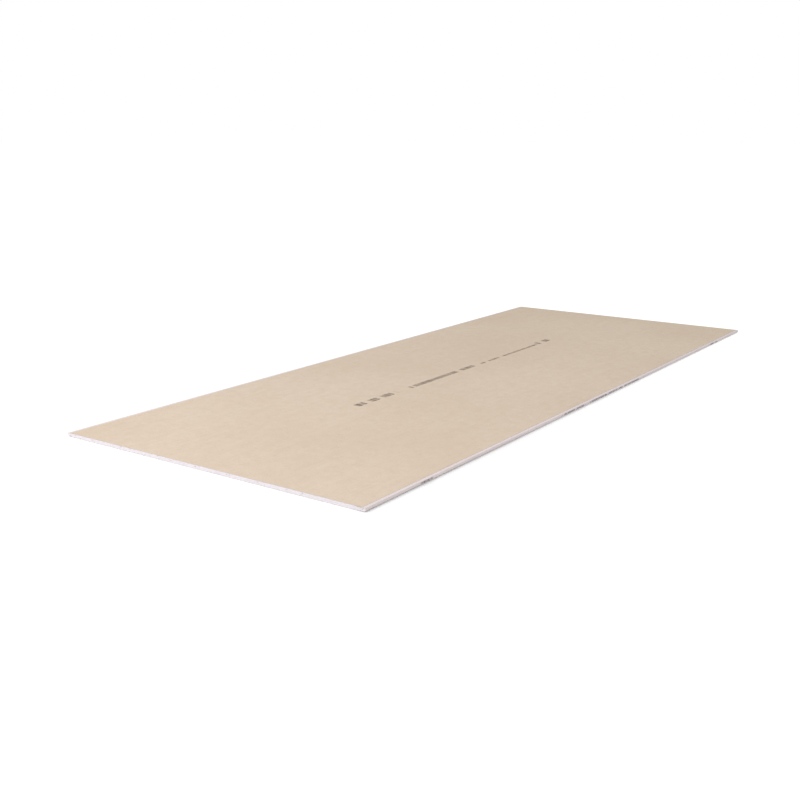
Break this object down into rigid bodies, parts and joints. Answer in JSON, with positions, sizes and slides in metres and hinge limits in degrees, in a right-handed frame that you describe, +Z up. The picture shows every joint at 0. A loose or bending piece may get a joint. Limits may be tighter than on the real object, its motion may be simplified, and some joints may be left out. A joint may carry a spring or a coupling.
{
  "type": "drywall sheet",
  "caption": "Flat rectangular gypsum board in paper liners with square-cut ends and tapered half-round long edges, for lining walls and ceilings.",
  "frame": {"origin": "on the floor under the middle of the sheet", "axes": "+X along the length, +Y across the width, +Z up through the thickness, from the face that it lies on to the back"},
  "size_m": [3, 1.2, 0.0125],
  "materials": {
    "back_liner": "matte uncoated grey-brown paper on the back",
    "face_liner": "matte pale paper on the face, wrapped round the long edges",
    "gypsum_core": "white cut gypsum with fine pores on the ends"
  },
  "bodies": {
    "root": {"drywall_sheet": "back_liner"}
  },
  "joints": []
}
